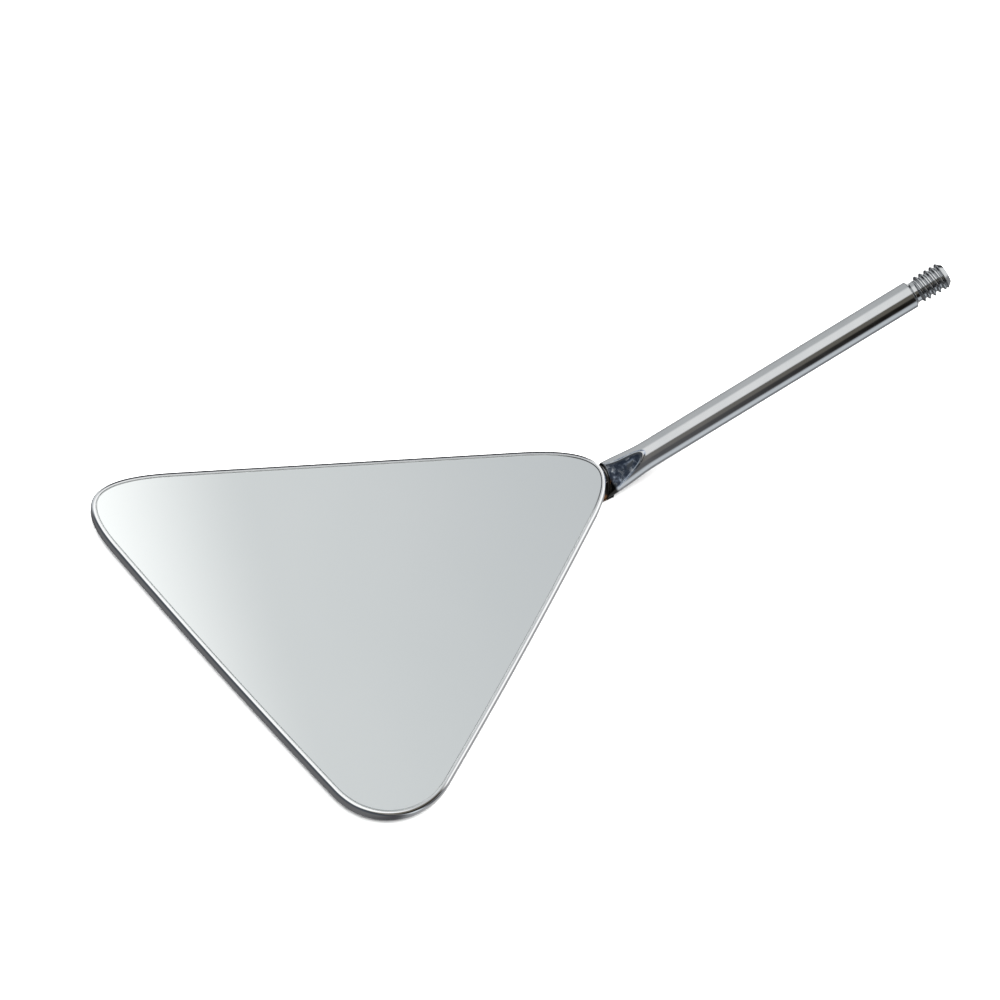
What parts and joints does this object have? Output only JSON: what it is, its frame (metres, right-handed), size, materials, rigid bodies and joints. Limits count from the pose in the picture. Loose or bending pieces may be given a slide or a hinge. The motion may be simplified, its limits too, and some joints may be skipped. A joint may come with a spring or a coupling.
{
  "type": "mouth mirror head with stem",
  "caption": "Flat rounded-triangle dental mirror in a thin steel tray, on a short rising steel stem with a threaded end for a handle.",
  "frame": {"origin": "under the middle of the whole object, on the surface that it lies on with its mirror up", "axes": "+Z out of the mirror, +X along the stem as seen from above, towards its threaded end"},
  "size_m": [0.0918, 0.0462, 0.0178],
  "materials": {
    "polished_steel": "mirror-polished stainless steel",
    "backing_pad": "matt",
    "mirror_glass": "clear, ground edge",
    "mirror_coating": "front-surface reflecting coat",
    "edge_seal": "matt sealant",
    "stem_steel": "polished stainless steel, drawn along its length",
    "weld_metal": "ground weld with a straw heat tint"
  },
  "bodies": {
    "root": {"back_cup": "polished_steel", "backing_pad": "backing_pad", "mirror_glass": "mirror_glass", "mirror_coating": "mirror_coating", "edge_seal": "edge_seal", "stem": "stem_steel", "weld_bead": "weld_metal"}
  },
  "joints": []
}
